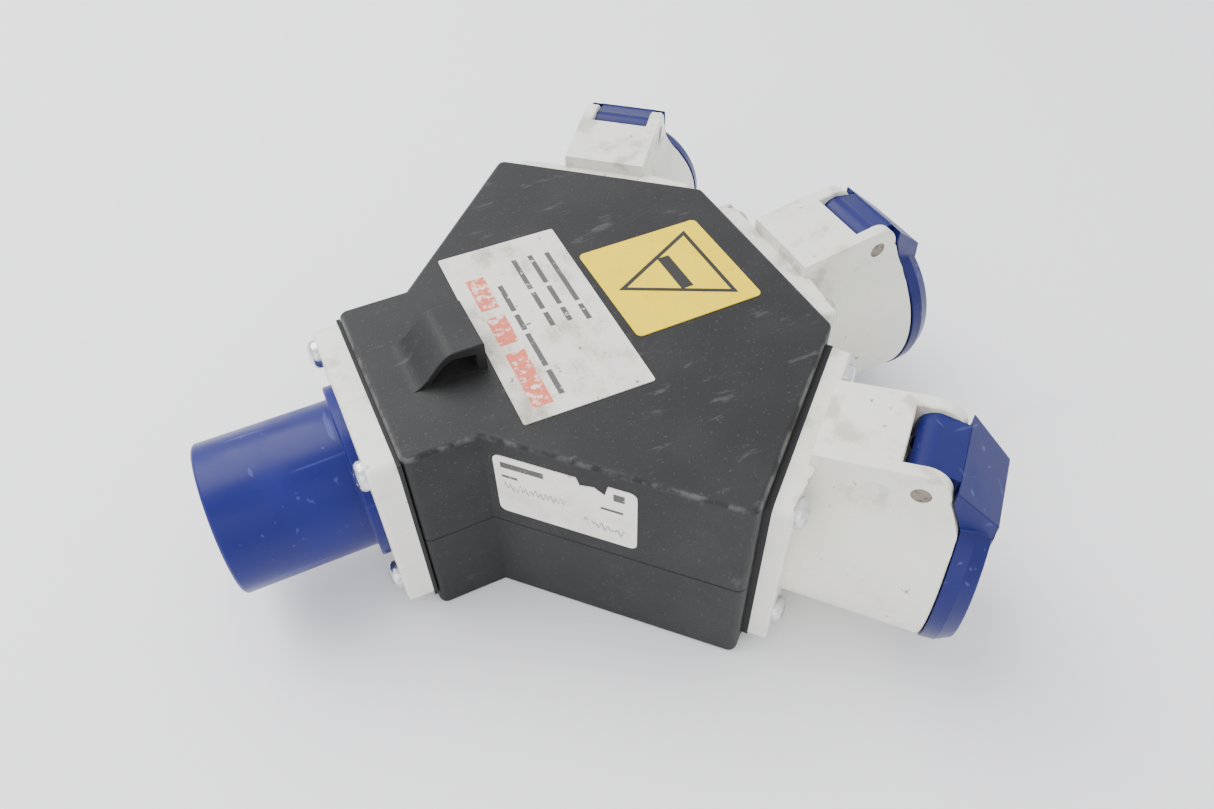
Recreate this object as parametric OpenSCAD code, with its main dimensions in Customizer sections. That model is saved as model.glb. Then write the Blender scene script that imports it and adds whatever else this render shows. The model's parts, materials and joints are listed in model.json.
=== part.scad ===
// Portable power distribution box: one three-pin inlet feeds three outlets with
// spring-closed lids, all screwed to the walls of a two-part rubber shell.
// Millimetres. +Z is up and z = 0 is the floor. The origin lies on the floor under
// the middle of the shell, the inlet points to -X and the middle outlet to +X.

/* [Shell] */
// Length of the shell, from the inlet face to the middle outlet face
shell_length = 142.4; // [135:0.2:175]
// Height of the shell
shell_height = 79; // [79:0.5:96]
// Width of the neck behind the inlet
neck_width = 71.6; // [71:0.2:90]
// Length of the neck's straight sides
neck_length = 23.5; // [19:0.5:30]
// Width of the face that carries the middle outlet
middle_face_width = 84.8; // [80:0.2:104]
// Width of each face that carries a side outlet
side_face_width = 81.5; // [78:0.5:100]
// Angle between the middle outlet and a side outlet
side_angle = 48.9; // [40:0.1:58]
// Thickness of the rubber walls
wall = 6; // [5:0.5:7.5]
// Radius of the shell's upright corners
corner_radius = 3; // [2:0.5:7]
// Height of the joint between the lower and the upper shell
seam_height = 38; // [32:0.5:46]

/* [Hanging lug] */
// Height of the lug above the shell
lug_height = 10.4; // [9:0.2:14]
// Width of the lug
lug_width = 22.4; // [16:0.2:30]
// Length of the lug along the shell
lug_length = 24.6; // [20:0.2:30]
// Length of the lug's curved ramp
lug_ramp = 15; // [12:0.5:18]
// Thickness of the lug's strap
lug_strap = 3; // [2:0.25:4]

/* [Connectors] */
// Side of the square mounting flange
flange_size = 70; // [66:0.5:71]
// Thickness of the outlets' flange
flange_thickness = 6.2; // [5:0.1:10]
// Thickness of the inlet's flange
inlet_flange_thickness = 8.7; // [6:0.1:12]
// Thickness of the gasket behind an outlet
gasket_thickness = 2.3; // [1:0.1:3]
// Thickness of the gasket behind the inlet
inlet_gasket_thickness = 1.3; // [0.8:0.1:3]
// Distance between flange screws, across the flange
screw_spacing = 56.5; // [52:0.5:58]
// Distance between flange screws, upwards
screw_spacing_up = 53.5; // [50:0.5:56]
// Height of the middle of the flange screws above the connector's axis
screw_rise = 2.2; // [0:0.1:3]
// Height of the outlets' axis above the middle of the shell
outlet_rise = 0.5; // [0:0.1:2]
// Height of the inlet's axis above the middle of the shell
inlet_rise = 2; // [0:0.1:3]
// Radius of the plug's shroud, outside
shroud_radius = 25.4; // [24:0.1:26]
// Wall of the plug's shroud
shroud_wall = 2.6; // [2:0.1:3.2]
// Reach of the shroud in front of the inlet's flange
shroud_reach = 46.2; // [42:0.2:56]
// Gap between a plug's shroud and the socket around it
plug_clearance = 0.9; // [0.5:0.1:1.2]
// Thickness of a socket's core outside its earth contact
core_web = 4; // [3:0.1:6]
// Radius of a line or neutral pin
live_pin_radius = 2.5; // [2:0.1:3]
// Radius of the earth pin
earth_pin_radius = 3.5; // [3:0.1:4]
// Length of the inlet's pins in front of their carrier
pin_length = 36; // [32:0.5:38]

/* [Outlet housing] */
// Distance of the socket's mouth from the shell
mouth_reach = 51.4; // [50:0.2:60]
// Wall of the socket at its flange
barrel_root_wall = 3.9; // [3.2:0.1:5]
// Wall of the socket at its mouth
barrel_mouth_wall = 3.5; // [3:0.1:5]
// Radius of the hollow that blends the hinge block into the barrel
web_radius = 12; // [6:0.5:16]
// Half the width of the hinge block on top of the housing
hinge_half_width = 15.8; // [14:0.1:18]
// Thickness of each hinge ear
ear_thickness = 4.6; // [4:0.1:6]
// Radius of the rounded hinge ears
ear_radius = 8; // [7.6:0.1:9]
// Distance of the hinge pin behind the socket's mouth
hinge_setback = 12.7; // [10:0.1:15]
// Height of the hinge pin above the outside of the socket's mouth
hinge_clearance = 6.4; // [6.2:0.1:9]

/* [Lid] */
// Depth of the lid in front of the socket's mouth
lid_depth = 8.9; // [8:0.1:14]
// Overhang of the lid's rim past the outside of the socket's mouth
lid_overhang = 0.4; // [0.1:0.1:3]
// Radius of the knuckle that turns on the hinge pin
knuckle_radius = 6.2; // [5.6:0.1:6.4]
// Radius of the hinge pin
hinge_pin_radius = 2; // [1.5:0.1:2.4]
// Thickness of the lid's walls
lid_wall = 2.2; // [1.6:0.1:2.6]

/* [Labels] */
// Side of the square hazard label
hazard_size = 46.5; // [35:0.5:50]
// Width of the plain white label, along the shell
plate_width = 43; // [30:0.5:46]
// Length of the plain white label, across the shell
plate_length = 84; // [60:0.5:95]
// Width of the test label on the shell's wall
test_width = 45.5; // [30:0.5:55]
// Height of the test label
test_height = 27.4; // [18:0.2:28]

/* [Hidden] */
$fn = 64;

// Clearances
slip = 0.3;
running = 0.05;
cut = 1;

// Colours
rubber = [0.15, 0.15, 0.155];
shell_white = [0.88, 0.88, 0.84];
deep_blue = [0.1, 0.13, 0.6];
insulator = [0.2, 0.2, 0.22];
brass = [0.8, 0.66, 0.32];
zinc = [0.72, 0.73, 0.75];
spring_steel = [0.55, 0.55, 0.57];

// Radii of the connectors, from the contacts outwards
contact_wall = 1.4;
carrier_rim = shroud_radius - shroud_wall;
core_radius = carrier_rim - plug_clearance;
contact_circle = core_radius - core_web - contact_wall - earth_pin_radius;
socket_radius = shroud_radius + plug_clearance;
barrel_root_radius = socket_radius + barrel_root_wall;
barrel_mouth_radius = socket_radius + barrel_mouth_wall;
lid_radius = barrel_mouth_radius + lid_overhang;

// A carrier's back is narrower than its socket, and the ledge between seats the carrier
carrier_ledge = 4.8;
carrier_back_radius = socket_radius - carrier_ledge;

outlet_axis = shell_height / 2 + outlet_rise;
inlet_axis = shell_height / 2 + inlet_rise;

// Shell outline: half of it is given, the other half is its mirror image.
function unit(v) = v / norm(v);
function left_of(v) = [-v.y, v.x];
function polar(radius, angle) = radius * [cos(angle), sin(angle)];
front_x = -shell_length / 2;
back_x = shell_length / 2;
middle_corner = [back_x, middle_face_width / 2];
wing_corner = middle_corner + side_face_width * [-sin(side_angle), cos(side_angle)];
neck_corner = [front_x + neck_length, neck_width / 2];
inlet_corner = [front_x, neck_width / 2];
half_outline = [middle_corner, wing_corner, neck_corner, inlet_corner];
outline = concat(
    half_outline,
    [for (i = [3:-1:0]) [half_outline[i].x, -half_outline[i].y]]
);
corner_count = len(outline);
corner_steps = 8;
function corner(i) = outline[(i + corner_count) % corner_count];
function side_way(i) = unit(corner(i + 1) - corner(i));
// Corner i moved inwards by the same distance from both of its sides
function inset_corner(i, depth) =
    let (a = left_of(side_way(i - 1)), b = left_of(side_way(i)))
    corner(i) + depth * (a + b) / (1 + a * b);
function is_convex(i) = cross(side_way(i - 1), side_way(i)) > 0;
function inset_radius(depth) = max(corner_radius - depth, 0.5);
// Points of corner i: an arc between its two sides, or the bare corner of a notch
function corner_points(i, depth) =
    let (
        r = inset_radius(depth),
        middle = inset_corner(i, depth + r),
        a = side_way(i - 1),
        start = atan2(-a.x, a.y),
        turn = acos(a * side_way(i))
    )
    is_convex(i)
        ? [for (k = [0:corner_steps]) middle + polar(r, start + turn * k / corner_steps)]
        : [inset_corner(i, depth)];

// The shell's outline, moved inwards by depth, with round outer corners
module shell_outline(depth = 0) {
    polygon([for (i = [0:corner_count - 1]) for (p = corner_points(i, depth)) p]);
}

// Where the connectors stand: angle of the outward normal and middle of the face
outlet_angles = [side_angle, 0, -side_angle];
side_middle = (middle_corner + wing_corner) / 2;
outlet_centres = [side_middle, [back_x, 0], [side_middle.x, -side_middle.y]];

// Local frame of a connector: X points out of the shell along the connector's axis,
// Y runs across the face and Z is up
module at_outlet(i) {
    translate([outlet_centres[i].x, outlet_centres[i].y, outlet_axis])
        rotate(outlet_angles[i])
            children();
}
module at_inlet() {
    translate([front_x, 0, inlet_axis])
        rotate(180)
            children();
}

// A rod along X between two distances from the shell, off the connector's axis by y, z
module rod(x0, x1, radius, y = 0, z = 0) {
    translate([x0, y, z])
        rotate([0, 90, 0])
            cylinder(h = x1 - x0, r = radius);
}

// A turned shape about the connector's axis: points are [radius, distance from shell]
module turned(profile) {
    rotate([0, 90, 0])
        rotate_extrude($fn = 128)
            polygon(profile);
}

// A side view [distance from shell, height over the axis], as thick as width across
module across(width) {
    translate([0, width / 2, 0])
        rotate([90, 0, 0])
            linear_extrude(width)
                children();
}

// A square plate with round corners, from x0 to x1, about the connector's axis
module square_plate(x0, x1, side, radius) {
    translate([x0, 0, 0])
        rotate([90, 0, 90])
            linear_extrude(x1 - x0)
                round_sheet(side, side, radius);
}

module at_flange_screws() {
    for (a = [-1, 1], b = [-1, 1])
        translate([0, a * screw_spacing / 2, screw_rise + b * screw_spacing_up / 2])
            children();
}

// Fasteners. M5 pan-head screws hold the flanges, M5 screws join the shells.
screw_radius = 2.45;
screw_hole_radius = 2.75;
head_radius = 4.8;
head_height = 3.1;
recess_half = 0.55;
recess_reach = 2.6;
recess_depth = 1.7;
insert_radius = 3.6;
insert_length = wall;

// Cross-recess pan-head screw: the head's underside is at z = 0, the shank runs down
module pan_screw(shank) {
    difference() {
        union() {
            rotate_extrude()
                polygon([[0, 0], [head_radius, 0], [head_radius, 0.4 * head_height],
                    [0.86 * head_radius, 0.78 * head_height],
                    [0.5 * head_radius, head_height], [0, head_height]]);
            translate([0, 0, -shank])
                cylinder(h = shank + 0.5, r = screw_radius);
        }
        for (turn = [0, 90])
            rotate(turn)
                translate([-recess_reach, -recess_half, head_height - recess_depth])
                    cube([2 * recess_reach, 2 * recess_half, recess_depth + cut]);
    }
}

// Shell screws: one near each outlet-side corner and one in each armpit of the neck
boss_radius = 5.5;
boss_inset = wall + boss_radius - 1;
neck_boss_shift = 12;
boss_places = concat(
    [for (i = [0, 1, corner_count - 2, corner_count - 1]) inset_corner(i, boss_inset)],
    [for (i = [2, corner_count - 4])
        corner(i + (i == 2 ? 0 : 1))
            + neck_boss_shift * (i == 2 ? -side_way(1) : side_way(corner_count - 3))
            + boss_inset * left_of(i == 2 ? side_way(1) : side_way(corner_count - 3))]
);
counterbore_depth = 4.5;
shell_screw_length = seam_height + 8 - counterbore_depth;
shell_insert_length = 10;

module at_bosses() for (p = boss_places) translate(p) children();

// Holes through the walls for the backs of the connectors
wall_opening_radius = carrier_back_radius + 1.5;

module wall_openings() {
    at_inlet()
        rod(-wall - cut, cut, wall_opening_radius);
    for (i = [0:2])
        at_outlet(i)
            rod(-wall - cut, cut, wall_opening_radius);
}

module insert_pockets() {
    at_inlet()
        at_flange_screws()
            rod(-insert_length, cut, insert_radius);
    for (i = [0:2])
        at_outlet(i)
            at_flange_screws()
                rod(-insert_length, cut, insert_radius);
}

// Lip of the lower shell, and its rebate in the upper shell
lip_height = 3;
lip_thickness = wall / 2 - 0.5;

lug_start = front_x + 11;
lug_end = lug_start + lug_length;

// Height of the lug's outside at a distance from its start: a smooth ramp, then flat
function lug_rise(x) = lug_height * (1 - cos(180 * min(x / lug_ramp, 1))) / 2;
lug_steps = 16;

// Side view of the lug: a curved ramp up from the inlet side and an upright end
module lug_profile() {
    polygon(concat(
        [[lug_start, -0.01]],
        [for (k = [0:lug_steps])
            let (x = lug_ramp * k / lug_steps) [lug_start + x, lug_rise(x)]],
        [[lug_end, lug_height], [lug_end, -0.01]]
    ));
}

// The window lies under the strap, and its sill lies just above the shell
module lug_window() {
    sill = 0.6;
    foot = lug_ramp * acos(1 - 2 * (lug_strap + sill) / lug_height) / 180;
    polygon(concat(
        [for (k = [0:lug_steps])
            let (x = foot + (lug_ramp - foot) * k / lug_steps)
            [lug_start + x, lug_rise(x) - lug_strap]],
        [[lug_end - lug_strap, lug_height - lug_strap], [lug_end - lug_strap, sill]]
    ));
}

module top_shell() {
    color(rubber)
        difference() {
            union() {
                translate([0, 0, seam_height])
                    linear_extrude(shell_height - seam_height)
                        shell_outline();
                translate([0, lug_width / 2, shell_height])
                    rotate([90, 0, 0])
                        linear_extrude(lug_width)
                            lug_profile();
            }
            difference() {
                translate([0, 0, seam_height - cut])
                    linear_extrude(shell_height - wall - seam_height + cut)
                        shell_outline(wall);
                at_bosses()
                    cylinder(h = shell_height, r = boss_radius);
            }
            difference() {
                translate([0, 0, seam_height - cut])
                    linear_extrude(lip_height + slip + cut)
                        shell_outline(wall - lip_thickness - slip);
                at_bosses()
                    cylinder(h = shell_height, r = boss_radius);
            }
            translate([0, lug_width, shell_height])
                rotate([90, 0, 0])
                    linear_extrude(2 * lug_width)
                        lug_window();
            at_bosses()
                translate([0, 0, seam_height - cut])
                    cylinder(h = shell_insert_length + cut, r = insert_radius);
            wall_openings();
            insert_pockets();
        }
}

module bottom_shell() {
    color(rubber)
        difference() {
            union() {
                difference() {
                    linear_extrude(seam_height)
                        shell_outline();
                    difference() {
                        translate([0, 0, wall])
                            linear_extrude(seam_height)
                                shell_outline(wall);
                        at_bosses()
                            cylinder(h = seam_height, r = boss_radius);
                    }
                }
                difference() {
                    translate([0, 0, seam_height - 0.01])
                        linear_extrude(lip_height + 0.01)
                            shell_outline(wall - lip_thickness);
                    translate([0, 0, seam_height - cut])
                        linear_extrude(lip_height + 2 * cut)
                            shell_outline(wall);
                    at_bosses()
                        translate([0, 0, seam_height])
                            cylinder(h = lip_height + cut, r = boss_radius + slip);
                }
            }
            at_bosses() {
                translate([0, 0, -cut])
                    cylinder(h = seam_height + 2 * cut, r = screw_hole_radius);
                translate([0, 0, -cut])
                    cylinder(h = counterbore_depth + cut, r = head_radius + slip);
            }
            wall_openings();
            insert_pockets();
        }
}

module shell_screws() {
    color(zinc)
        at_bosses()
            translate([0, 0, counterbore_depth])
                mirror([0, 0, 1])
                    pan_screw(shell_screw_length);
}

module shell_inserts() {
    color(brass)
        at_bosses()
            translate([0, 0, seam_height])
                difference() {
                    cylinder(h = shell_insert_length, r = insert_radius);
                    translate([0, 0, -cut])
                        cylinder(h = shell_insert_length + 2 * cut, r = screw_radius);
                }
}

module flange_insert() {
    difference() {
        rod(-insert_length, 0, insert_radius);
        rod(-insert_length - cut, cut, screw_radius);
    }
}

module flange_inserts() {
    color(brass) {
        at_inlet()
            at_flange_screws()
                flange_insert();
        for (i = [0:2])
            at_outlet(i)
                at_flange_screws()
                    flange_insert();
    }
}

// Labels are thin sheets that lie on the shell
label_thickness = 0.3;
label_shift = 3;
plate_x = lug_end + 1.8 + plate_width / 2;
plate_turn = -1.2;
test_start = 3.3;
test_bottom = shell_height - 7 - test_height;
test_corner = 2.4;
hazard_corner = 2;
plate_corner = 0.8;
torn_width = 13;
torn_depth = 4.5;

// A flat rectangle with round corners, about the origin
module round_sheet(width, height, radius) {
    square([width, height - 2 * radius], center = true);
    square([width - 2 * radius, height], center = true);
    for (a = [-1, 1], b = [-1, 1])
        translate([a * (width / 2 - radius), b * (height / 2 - radius)])
            circle(radius);
}

module hazard_label() {
    color([0.98, 0.8, 0.05])
        translate([plate_x + plate_width / 2 + 3 + hazard_size / 2, label_shift,
                shell_height])
            linear_extrude(label_thickness)
                round_sheet(hazard_size, hazard_size, hazard_corner);
}

module plate_label() {
    color([0.9, 0.89, 0.85])
        translate([plate_x, label_shift, shell_height])
            rotate(plate_turn)
                linear_extrude(label_thickness)
                    round_sheet(plate_width, plate_length, plate_corner);
}

// The test label has round corners and a torn notch in its upper edge
module test_label() {
    wall_way = corner(corner_count - 2) - corner(corner_count - 3);
    color([0.93, 0.92, 0.89])
        translate(corner(corner_count - 3))
            rotate(atan2(wall_way.y, wall_way.x))
                translate([test_start, 0, test_bottom])
                    rotate([90, 0, 0])
                        linear_extrude(label_thickness)
                            difference() {
                                translate([test_width / 2, test_height / 2])
                                    round_sheet(test_width, test_height, test_corner);
                                translate([0.58 * test_width, test_height - torn_depth])
                                    polygon([[0, torn_depth + cut],
                                        [0.1 * torn_width, 0.3 * torn_depth],
                                        [0.45 * torn_width, 0.5 * torn_depth],
                                        [0.7 * torn_width, 0],
                                        [0.8 * torn_width, torn_depth + cut]]);
                            }
}

// Contacts stand on a circle: earth at the bottom, line and neutral 120 degrees away.
// A plug meets a socket face to face, so the live pair changes sides between them.
live_y = contact_circle * sin(60);
live_z = contact_circle * cos(60);
earth_z = -contact_circle;
inlet_line = [live_y, live_z];
inlet_neutral = [-live_y, live_z];
outlet_line = [-live_y, live_z];
outlet_neutral = [live_y, live_z];

// Terminal blocks behind the contacts
block_length = 8;
block_height = 8;
outlet_block_width = 8;
inlet_block_width = 14;
carrier_back = 14;

module terminal_block(place, width) {
    translate([-carrier_back - block_length, place.x - width / 2,
            place.y - block_height / 2])
        cube([block_length, width, block_height]);
}

// Small grub screws that clamp the wires, on the blocks' outer faces
terminal_screw_radius = 1.6;
terminal_screw_height = 2;

module terminal_screw(place, up) {
    translate([-carrier_back - block_length / 2, place.x,
            place.y + up * block_height / 2])
        mirror([0, 0, up > 0 ? 0 : 1])
            difference() {
                cylinder(h = terminal_screw_height, r = terminal_screw_radius);
                translate([-terminal_screw_radius, -0.3, terminal_screw_height - 0.7])
                    cube([2 * terminal_screw_radius, 0.6, 1]);
            }
}

// Inlet
inlet_face = inlet_gasket_thickness + inlet_flange_thickness;
base_thickness = 3;
base_radius = shroud_radius + 4.2;
key_half_width = 3.2;
key_height = 2.4;
inlet_mouth = inlet_face + shroud_reach;

module inlet_gasket() {
    color(rubber)
        at_inlet()
            difference() {
                square_plate(0, inlet_gasket_thickness, flange_size, 0.5);
                rod(-cut, inlet_gasket_thickness + cut, wall_opening_radius);
                at_flange_screws()
                    rod(-cut, inlet_gasket_thickness + cut, screw_hole_radius);
            }
}

module inlet_flange() {
    color(shell_white)
        at_inlet()
            difference() {
                square_plate(inlet_gasket_thickness, inlet_face, flange_size, 4);
                rod(0, inlet_face + cut, carrier_rim);
                at_flange_screws()
                    rod(0, inlet_face + cut, screw_hole_radius);
            }
}

// Shroud: a tube on a round base plate, with a guide key under it
module inlet_shroud() {
    color(deep_blue)
        at_inlet()
            difference() {
                union() {
                    turned([[0, inlet_face], [base_radius, inlet_face],
                        [base_radius, inlet_face + base_thickness],
                        [shroud_radius, inlet_face + base_thickness],
                        [shroud_radius, inlet_mouth - 0.8],
                        [shroud_radius - 0.8, inlet_mouth], [0, inlet_mouth]]);
                    translate([inlet_face, -key_half_width,
                            -shroud_radius - key_height])
                        cube([shroud_reach - 2, 2 * key_half_width, key_height + 2]);
                }
                rod(0, inlet_mouth + cut, carrier_rim);
                at_flange_screws()
                    rod(inlet_face - cut, inlet_face + base_thickness + cut,
                        head_radius + slip);
            }
}

pin_root = inlet_face + base_thickness;
pin_step = 0.5;

// Carrier: fills the shroud's root and holds the thicker roots of the pins
module inlet_carrier() {
    color(insulator)
        at_inlet()
            difference() {
                turned([[0, -carrier_back], [carrier_back_radius, -carrier_back],
                    [carrier_back_radius, inlet_gasket_thickness],
                    [carrier_rim, inlet_gasket_thickness],
                    [carrier_rim, pin_root], [0, pin_root]]);
                for (place = [inlet_line, inlet_neutral])
                    rod(-carrier_back - cut, pin_root + cut, live_pin_radius + pin_step,
                        place.x, place.y);
                rod(-carrier_back - cut, pin_root + cut, earth_pin_radius + pin_step,
                    0, earth_z);
            }
}

// A pin with a thick root, a blunt tip in front and a terminal block behind
module inlet_pin(place, radius) {
    tip = pin_root + pin_length;
    dome = 0.6 * radius;
    color(brass)
        at_inlet() {
            rod(-carrier_back - 0.5, pin_root, radius + pin_step, place.x, place.y);
            rod(pin_root - 1, tip - dome, radius, place.x, place.y);
            translate([tip - dome, place.x, place.y])
                rotate([0, 90, 0])
                    cylinder(h = dome, r1 = radius, r2 = 0.5 * radius);
            terminal_block(place, inlet_block_width);
        }
}

module inlet_line_pin() inlet_pin(inlet_line, live_pin_radius);
module inlet_neutral_pin() inlet_pin(inlet_neutral, live_pin_radius);
module inlet_earth_pin() inlet_pin([0, earth_z], earth_pin_radius);

module flange_screw_set(face, thickness) {
    shank = thickness + insert_length - 1;
    at_flange_screws()
        translate([face, 0, 0])
            rotate([0, 90, 0])
                pan_screw(shank);
}

module inlet_flange_screws() {
    color(zinc)
        at_inlet()
            flange_screw_set(inlet_face, inlet_face);
}

module inlet_terminal_screws() {
    color(zinc)
        at_inlet() {
            terminal_screw(inlet_line, 1);
            terminal_screw(inlet_neutral, 1);
            terminal_screw([0, earth_z], -1);
        }
}

// Outlets
outlet_face = gasket_thickness + flange_thickness;
socket_floor = 6;
core_face = mouth_reach - 3;
contact_setback = 3;
contact_mouth = 0.6;
contact_depth = 24;
contact_front = core_face - contact_setback;

module outlet_gasket(i) {
    color(rubber)
        at_outlet(i)
            difference() {
                square_plate(0, gasket_thickness, flange_size, 0.5);
                rod(-cut, gasket_thickness + cut, wall_opening_radius);
                at_flange_screws()
                    rod(-cut, gasket_thickness + cut, screw_hole_radius);
            }
}

// Hinge block and ears, in side view over the connector's axis
hinge = [mouth_reach - hinge_setback, barrel_mouth_radius + hinge_clearance];
ear_tip = hinge.x + ear_radius;
slope_foot = [mouth_reach, barrel_mouth_radius - 4.6];
block_low = barrel_root_radius - 8;
block_drop = 4.5;
recess_half_width = hinge_half_width - ear_thickness;
recess_gap = 1;
recess_back = hinge.x - knuckle_radius - recess_gap;
recess_floor = hinge.y - knuckle_radius - 0.5;
pin_head_radius = hinge_pin_radius + 0.7;
pin_head_gap = 0.2;
pin_head_height = 1;

module hinge_block() {
    across(2 * hinge_half_width) {
        polygon([[outlet_face - 1, block_low],
            [outlet_face - 1, hinge.y + ear_radius - block_drop],
            [hinge.x, hinge.y + ear_radius], [ear_tip, hinge.y],
            slope_foot, [mouth_reach, block_low]]);
        translate(hinge)
            circle(ear_radius);
    }
}

// Webs that lead the hinge block's sides down to the barrel in a hollow curve
module hinge_webs() {
    reach = barrel_mouth_radius + web_radius;
    centre = [hinge_half_width + web_radius,
        sqrt(reach * reach - pow(hinge_half_width + web_radius, 2))];
    foot = barrel_mouth_radius / reach * centre;
    for (s = [0, 1])
        mirror([0, s, 0])
            translate([outlet_face - 1, 0, 0])
                rotate([90, 0, 90])
                    linear_extrude(mouth_reach - outlet_face + 1)
                        difference() {
                            polygon([[hinge_half_width - 1, block_low],
                                [hinge_half_width - 1, centre.y],
                                [centre.x, centre.y], foot]);
                            translate(centre)
                                circle(web_radius, $fn = 96);
                        }
}

// Space in front of the sloped faces between the ears' tips and the mouth
module slope_clearance() {
    across(4 * hinge_half_width)
        polygon([slope_foot, [ear_tip, hinge.y], [ear_tip, hinge.y + 2 * ear_radius],
            [mouth_reach + 10, hinge.y + 2 * ear_radius], [mouth_reach + 10, slope_foot.y]]);
}

module outlet_housing(i) {
    color(shell_white)
        at_outlet(i)
            difference() {
                union() {
                    square_plate(gasket_thickness, outlet_face, flange_size, 2);
                    turned([[0, gasket_thickness], [barrel_root_radius, gasket_thickness],
                        [barrel_root_radius, outlet_face],
                        [barrel_mouth_radius, mouth_reach], [0, mouth_reach]]);
                    hinge_block();
                    hinge_webs();
                }
                rod(0, mouth_reach + cut, socket_radius);
                translate([socket_floor, -key_half_width - slip,
                        -shroud_radius - key_height - slip])
                    cube([mouth_reach, 2 * (key_half_width + slip), key_height + 2]);
                slope_clearance();
                across(2 * recess_half_width)
                    polygon([[recess_back, recess_floor],
                        [recess_back, hinge.y + 2 * ear_radius],
                        [mouth_reach + cut, hinge.y + 2 * ear_radius],
                        [mouth_reach + cut, recess_floor]]);
                translate([0, 0, hinge.y])
                    hinge_rod(2 * hinge_half_width + 2 * cut, hinge_pin_radius + running);
                for (s = [-1, 1])
                    translate([0, s * (hinge_half_width - pin_head_height / 2 + cut / 2),
                            hinge.y])
                        hinge_rod(pin_head_height + cut, pin_head_radius + pin_head_gap);
                at_flange_screws()
                    rod(0, outlet_face + cut, screw_hole_radius);
            }
}

// A rod across the housing at the hinge's distance, centred on the middle plane
module hinge_rod(length, radius) {
    translate([hinge.x, length / 2, 0])
        rotate([90, 0, 0])
            cylinder(h = length, r = radius);
}

// Room for the three contacts, and the wider mouths that the plug's pins enter by
module contact_holes() {
    for (place = [outlet_line, outlet_neutral]) {
        rod(-carrier_back - cut, contact_front, live_pin_radius + contact_wall,
            place.x, place.y);
        rod(0, core_face + cut, live_pin_radius + contact_mouth, place.x, place.y);
    }
    rod(-carrier_back - cut, contact_front, earth_pin_radius + contact_wall, 0, earth_z);
    rod(0, core_face + cut, earth_pin_radius + contact_mouth, 0, earth_z);
}

// Carrier: the back body and the disc that closes the socket
module outlet_carrier(i) {
    color(insulator)
        at_outlet(i)
            difference() {
                turned([[0, -carrier_back], [carrier_back_radius, -carrier_back],
                    [carrier_back_radius, gasket_thickness],
                    [socket_radius, gasket_thickness], [socket_radius, socket_floor],
                    [0, socket_floor]]);
                contact_holes();
            }
}

// Core: the round block round the contacts, which a plug's shroud slides over
module outlet_core(i) {
    color(insulator)
        at_outlet(i)
            difference() {
                rod(socket_floor, core_face, core_radius);
                contact_holes();
            }
}

// Contact: a turned tube with a blind bore and a terminal block behind
module contact(place, radius) {
    difference() {
        union() {
            rod(-carrier_back - 0.5, contact_front, radius + contact_wall,
                place.x, place.y);
            terminal_block(place, outlet_block_width);
        }
        rod(contact_front - contact_depth, contact_front + cut, radius + running,
            place.x, place.y);
    }
}

module outlet_live_contacts(i) {
    color(brass)
        at_outlet(i) {
            contact(outlet_line, live_pin_radius);
            contact(outlet_neutral, live_pin_radius);
        }
}

module outlet_earth_contact(i) {
    color(brass)
        at_outlet(i)
            contact([0, earth_z], earth_pin_radius);
}

module outlet_terminal_screws(i) {
    color(zinc)
        at_outlet(i) {
            terminal_screw(outlet_line, 1);
            terminal_screw(outlet_neutral, 1);
            terminal_screw([0, earth_z], -1);
        }
}

module outlet_flange_screws(i) {
    color(zinc)
        at_outlet(i)
            flange_screw_set(outlet_face, outlet_face);
}

// Hinge pin with a shallow head at each end
module outlet_hinge_pin(i) {
    color(zinc)
        at_outlet(i)
            translate([0, 0, hinge.y]) {
                hinge_rod(2 * hinge_half_width - 0.4, hinge_pin_radius);
                for (s = [-1, 1])
                    translate([0, s * (hinge_half_width - 0.6), 0])
                        hinge_rod(0.8, pin_head_radius);
            }
}

// Lid, closed
lid_gap = 0.4;
lid_back = mouth_reach + lid_gap;
lid_front = lid_back + lid_depth;
lid_front_radius = lid_radius - 2.6;
lid_break = lid_back + 0.5 * lid_depth;
roof_back = [ear_tip + 0.6, hinge.y + knuckle_radius - 1];
roof_front = [lid_front + 0.3, hinge.y - 6.4];
roof_taper = 2.6;
knuckle_half_width = recess_half_width - slip;
lip_half_width = 5;
seal_thickness = 3;

// Spring pocket inside the knuckle, open at the back and underneath
spring_wire = 0.5;
spring_radius = hinge_pin_radius + 0.5 + spring_wire;
spring_turns = 4;
pocket_radius = spring_radius + spring_wire + 0.4;
pocket_half_width = spring_turns * spring_wire + spring_wire + 0.5;
lid_travel = 95;
leg_angle = 262;

module spring_pocket() {
    spread = 14;
    across(2 * pocket_half_width)
        translate(hinge) {
            circle(pocket_radius);
            polygon(concat([[0, 0]],
                [for (a = [0:3])
                    polar(1.2 * knuckle_radius,
                        leg_angle + spread - a * (lid_travel + 2 * spread) / 3)]));
        }
}

module lid_roof() {
    intersection() {
        across(2 * hinge_half_width)
            polygon([roof_back, roof_front, [roof_front.x, slope_foot.y - 6],
                [lid_back, slope_foot.y - 6], [lid_back, slope_foot.y + 0.4],
                [ear_tip + 0.6, hinge.y + 0.4]]);
        linear_extrude(shell_height)
            polygon([[0, -hinge_half_width], [roof_back.x, -hinge_half_width],
                [roof_front.x, -hinge_half_width + roof_taper],
                [roof_front.x, hinge_half_width - roof_taper],
                [roof_back.x, hinge_half_width], [0, hinge_half_width]]);
    }
}

module lid_neck() {
    across(2 * knuckle_half_width) {
        translate(hinge)
            circle(knuckle_radius);
        polygon([hinge + [0, knuckle_radius], roof_back + [0.4, -0.4],
            [lid_back + 0.4, recess_floor + 1], hinge + polar(knuckle_radius, -60),
            hinge]);
    }
}

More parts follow.
